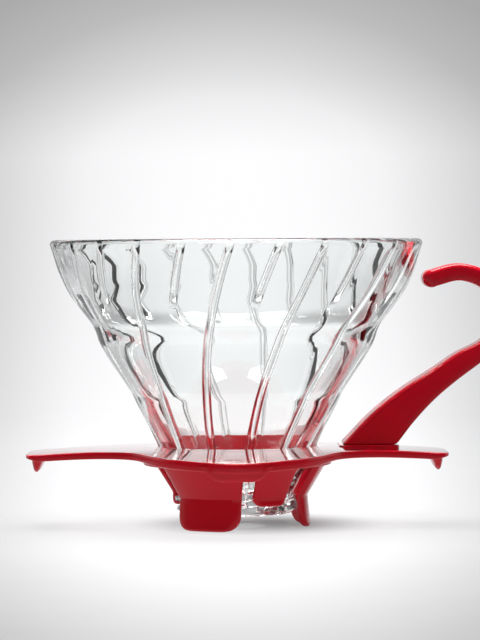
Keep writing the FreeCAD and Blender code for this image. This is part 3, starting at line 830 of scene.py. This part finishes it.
def handle_section(inner, outer, half, corner):
    """A section of the handle: a rounded strip between its two edges."""
    along = outer - inner
    width = along.length
    along.normalize()
    corner = min(corner, width * 0.46, half * 0.46)
    loop = []
    for distance, side, start in ((width - corner, half - corner, 0), (corner, half - corner, 90),
                                  (corner, corner - half, 180), (width - corner, corner - half, 270)):
        for step in range(7):
            angle = math.radians(start + 90 * step / 6)
            spot = inner + along * (distance + corner * math.cos(angle))
            loop.append((spot.x, side + corner * math.sin(angle), spot.y))
    return loop


def make_handle():
    """The handle: a rounded foot, the strip that narrows to the grip, and a domed tip."""
    inner, outer = handle_edges()
    loops = []
    sides = list(zip(inner, outer))
    for grow, lift in ((0.8, 0.02), (0.25, 0.2), (0.05, 0.5)):
        near = inner[0] + Vector((grow, lift, 0)) + Vector((NEAR_LEAN * lift, 0, 0))
        far = outer[0] + Vector((-grow + FAR_LEAN * lift, lift, 0))
        loops.append(handle_section(near, far, FOOT_HALF - grow, FOOT_CORNER))
    for near, far in sides[1:]:
        height = (near.y + far.y) / 2
        climb = min(max((height - PAD_TOP) / (GRIP_START - PAD_TOP), 0), 1)
        half = FOOT_HALF + (GRIP_HALF - FOOT_HALF) * climb
        loops.append(handle_section(near, far, half, GRIP_CORNER))
    near, far = sides[-1]
    middle = (near + far) / 2
    ahead = (far - near).normalized()
    forward = Vector((-ahead.y, ahead.x, 0))
    radius = (far - near).length / 2
    for step in range(1, TIP_STEPS):
        angle = math.pi / 2 * step / TIP_STEPS
        reach = radius * 1.05 * math.sin(angle)
        small = math.cos(angle)
        centre = middle + forward * reach
        loops.append(handle_section(centre - ahead * radius * small, centre + ahead * radius * small,
                                    GRIP_HALF - radius * (1 - small) * 0.8, GRIP_CORNER))
    points, faces = loft(loops)
    piece = add_piece("handle_body", points, faces, "holder", RED, 35)
    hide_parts("handle")


# ------------------------------------------------------------------ studio
# Places and sizes of the studio are in metres, angles in degrees.

CAMERA_PLACE = (0, -0.937, 0.0856)
CAMERA_LENS = 168.75
CAMERA_TILT = 1.29848
CAMERA_PAN = 0.066845
CAMERA_ROLL = -0.35
PAPER_FRONT = -0.9
PAPER_BEND = 0.55
PAPER_RADIUS = 0.6
PAPER_TOP = 1.6
PAPER_COLUMNS = 25
PAPER_SPREAD = 0.24
PAPER_FAN = 1.2
PAPER_EDGE = 0.28
FLOOR_STEPS = 40
WALL_STEPS = 8
WALL_PALE = 0.43
FLOOR_PALE = 0.6


def make_camera():
    """A long lens a little below the rim, square to the dripper."""
    camera = bpy.data.cameras.new("camera")
    camera.sensor_width = 36
    camera.lens = CAMERA_LENS
    camera.clip_start = 0.05
    holder = bpy.data.objects.new("camera", camera)
    bpy.context.scene.collection.objects.link(holder)
    holder.location = CAMERA_PLACE
    holder.rotation_mode = "XYZ"
    holder.rotation_euler = (math.radians(90 - CAMERA_TILT), 0, math.radians(-CAMERA_PAN))
    holder.rotation_euler.rotate_axis("Z", math.radians(CAMERA_ROLL))
    bpy.context.scene.camera = holder


def add_area_light(name, location, target, energy, size):
    """A white rectangular lamp that faces a point."""
    data = bpy.data.lights.new(name, "AREA")
    data.energy = energy
    data.shape = "RECTANGLE"
    data.size, data.size_y = size
    light = bpy.data.objects.new(name, data)
    bpy.context.scene.collection.objects.link(light)
    light.location = location
    direction = Vector(target) - Vector(location)
    light.rotation_euler = direction.to_track_quat("-Z", "Y").to_euler()


def painted_light_falloff(along):
    """Painted light falloff of the paper: slow near the start of the bend, quick up the wall and at the
    front.
    """
    if along > WALL_PALE:
        return 0.3 + 7.2 * (along - WALL_PALE)
    if along > 0:
        return along * 0.3 / WALL_PALE
    if along > -FLOOR_PALE:
        return -along * 0.33 / FLOOR_PALE
    return 0.33 + 3.2 * (-FLOOR_PALE - along)


def backdrop_rows():
    """The section of the paper as (y, z, distance along it from the start of the bend)."""
    rows = []
    for step in range(FLOOR_STEPS):
        y = PAPER_FRONT + (PAPER_BEND - PAPER_FRONT) * step / FLOOR_STEPS
        rows.append((y, 0.0, (PAPER_FRONT - PAPER_BEND) * (1 - step / FLOOR_STEPS)))
    for step in range(FLOOR_STEPS + 1):
        angle = math.pi / 2 * step / FLOOR_STEPS
        rows.append((PAPER_BEND + PAPER_RADIUS * math.sin(angle), PAPER_RADIUS * (1 - math.cos(angle)),
                     PAPER_RADIUS * angle))
    for step in range(1, WALL_STEPS + 1):
        climb = (PAPER_TOP - PAPER_RADIUS) * step / WALL_STEPS
        rows.append((PAPER_BEND + PAPER_RADIUS, PAPER_RADIUS + climb, PAPER_RADIUS * math.pi / 2 + climb))
    return rows


def make_backdrop():
    """A pale sweep, wider at the back: floor, a soft bend and a tall wall."""
    rows = backdrop_rows()
    points = []
    places = []
    for y, z, along in rows:
        for column in range(PAPER_COLUMNS):
            across = 2 * column / (PAPER_COLUMNS - 1) - 1
            points.append((across * PAPER_SPREAD * (y + PAPER_FAN), y, z))
            # Where this point sits in the painted pool of light: across the sheet, and along it.
            places.append((across / PAPER_EDGE, painted_light_falloff(along)))
    faces = []
    for row in range(len(rows) - 1):
        for column in range(PAPER_COLUMNS - 1):
            first = row * PAPER_COLUMNS + column
            above = first + PAPER_COLUMNS
            faces.append((first, first + 1, above + 1, above))
    mesh = bpy.data.meshes.new("backdrop")
    mesh.from_pydata(points, [], faces)
    layer = mesh.uv_layers.new(name="grading")
    for loop in mesh.loops:
        layer.data[loop.index].uv = places[loop.vertex_index]
    mesh.materials.append(stage_material())
    mesh.shade_smooth()
    backdrop = bpy.data.objects.new("backdrop", mesh)
    bpy.context.scene.collection.objects.link(backdrop)


def make_card(name, start, end, half_height):
    """An upright glowing white card, between two points at its middle height."""
    points = [(start[0], start[1], start[2] - half_height), (end[0], end[1], end[2] - half_height),
              (end[0], end[1], end[2] + half_height), (start[0], start[1], start[2] + half_height)]
    mesh = bpy.data.meshes.new(name)
    mesh.from_pydata(points, [], [(0, 1, 2, 3)])
    material, tree, shader = new_material(name + "_card")
    shader.inputs["Emission Color"].default_value = (1, 1, 1, 1)
    shader.inputs["Emission Strength"].default_value = CARD_GLOW
    tree.links.new(spread(tree, noise(tree, 30), 0.8, 0.9), shader.inputs["Roughness"])
    mesh.materials.append(material)
    card = bpy.data.objects.new(name, mesh)
    bpy.context.scene.collection.objects.link(card)


def make_lights():
    """Weak sky, a lamp overhead and three cards. The side cards stand outside every view's camera."""
    world = bpy.data.worlds.new("studio")
    bpy.context.scene.world = world
    world.use_nodes = True
    background = world.node_tree.nodes["Background"]
    background.inputs["Color"].default_value = (0.95, 0.97, 1.0, 1)
    background.inputs["Strength"].default_value = 0.13
    add_area_light("overhead", (0.0, 0.02, 0.95), (0, 0.02, 0), 24, (0.7, 0.5))
    make_card("left_card", (-1.56, 0.15, 0.84), (-1.20, 2.55, 0.84), 0.78)
    make_card("right_card", (1.56, 0.15, 0.84), (1.20, 2.55, 0.84), 0.78)
    make_card("back_card", (-0.5, 0.80, 0.62), (0.5, 0.80, 0.62), 0.30)


make_camera()
make_backdrop()
make_lights()
make_glass()
make_plate()
make_ring()
make_handle()

bpy.context.scene.view_settings.view_transform = "Standard"

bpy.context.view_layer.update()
